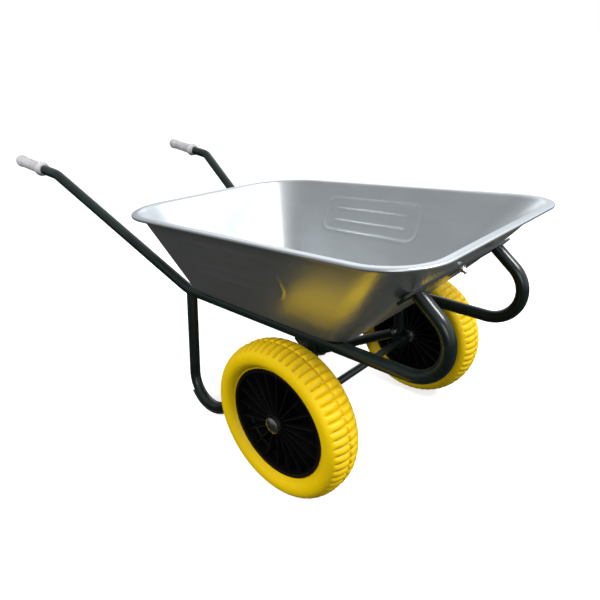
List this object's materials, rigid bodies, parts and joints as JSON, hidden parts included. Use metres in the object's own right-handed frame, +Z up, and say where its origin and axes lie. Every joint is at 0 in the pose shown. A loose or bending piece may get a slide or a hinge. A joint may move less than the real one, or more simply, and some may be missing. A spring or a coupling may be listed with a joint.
{
  "type": "wheelbarrow",
  "caption": "Two-wheel builder's wheelbarrow with a galvanised tray, dark tubular frame, white grips and yellow solid tyres.",
  "frame": {"origin": "middle of the footprint on the ground", "axes": "+X forward from the grips to the nose, +Y left, +Z up"},
  "size_m": [1.5495, 0.7044, 0.6706],
  "materials": {
    "tray_sheet": "satin galvanised sheet steel with a bright rim",
    "plated_steel": "bright zinc plated",
    "frame_paint": "glossy near-black green powder coat",
    "grip_plastic": "satin white moulded plastic",
    "bright_cap": "pressed bright steel",
    "tyre_foam": "yellow solid polyurethane, satin",
    "rim_plastic": "black moulded plastic, satin",
    "bush_nylon": "natural nylon"
  },
  "bodies": {
    "frame": {"tray": "tray_sheet", "rim_wire": "plated_steel", "front_strap": "frame_paint", "axle": "frame_paint", "floor_bolts": "plated_steel", "floor_washers": "plated_steel", "floor_nuts": "plated_steel", "nose_bolt": "plated_steel", "nose_washer": "plated_steel", "nose_nut": "plated_steel", "bracket_bolts": "plated_steel", "bracket_nuts": "plated_steel", "left_main_tube": "frame_paint", "left_leg_tube": "frame_paint", "left_foot_shoe": "frame_paint", "left_rail_gusset": "frame_paint", "left_axle_bracket": "frame_paint", "left_axle_spacer": "frame_paint", "left_grip": "grip_plastic", "left_inner_washer": "plated_steel", "left_outer_washer": "plated_steel", "left_hub_cap": "bright_cap", "right_main_tube": "frame_paint", "right_leg_tube": "frame_paint", "right_foot_shoe": "frame_paint", "right_rail_gusset": "frame_paint", "right_axle_bracket": "frame_paint", "right_axle_spacer": "frame_paint", "right_grip": "grip_plastic", "right_inner_washer": "plated_steel", "right_outer_washer": "plated_steel", "right_hub_cap": "bright_cap"},
    "left_wheel": {"left_tyre": "tyre_foam", "left_wheel_rim": "rim_plastic", "left_inner_bush": "bush_nylon", "left_outer_bush": "bush_nylon"},
    "right_wheel": {"right_tyre": "tyre_foam", "right_wheel_rim": "rim_plastic", "right_inner_bush": "bush_nylon", "right_outer_bush": "bush_nylon"}
  },
  "joints": [
    {"name": "left_wheel_spin", "type": "hinge", "parent": "frame", "child": "left_wheel", "pos_m": [0.43833, 0.2905, 0.19], "axis": [0, 1, 0], "continuous": true},
    {"name": "right_wheel_spin", "type": "hinge", "parent": "frame", "child": "right_wheel", "pos_m": [0.43833, -0.2905, 0.19], "axis": [0, 1, 0], "continuous": true}
  ]
}
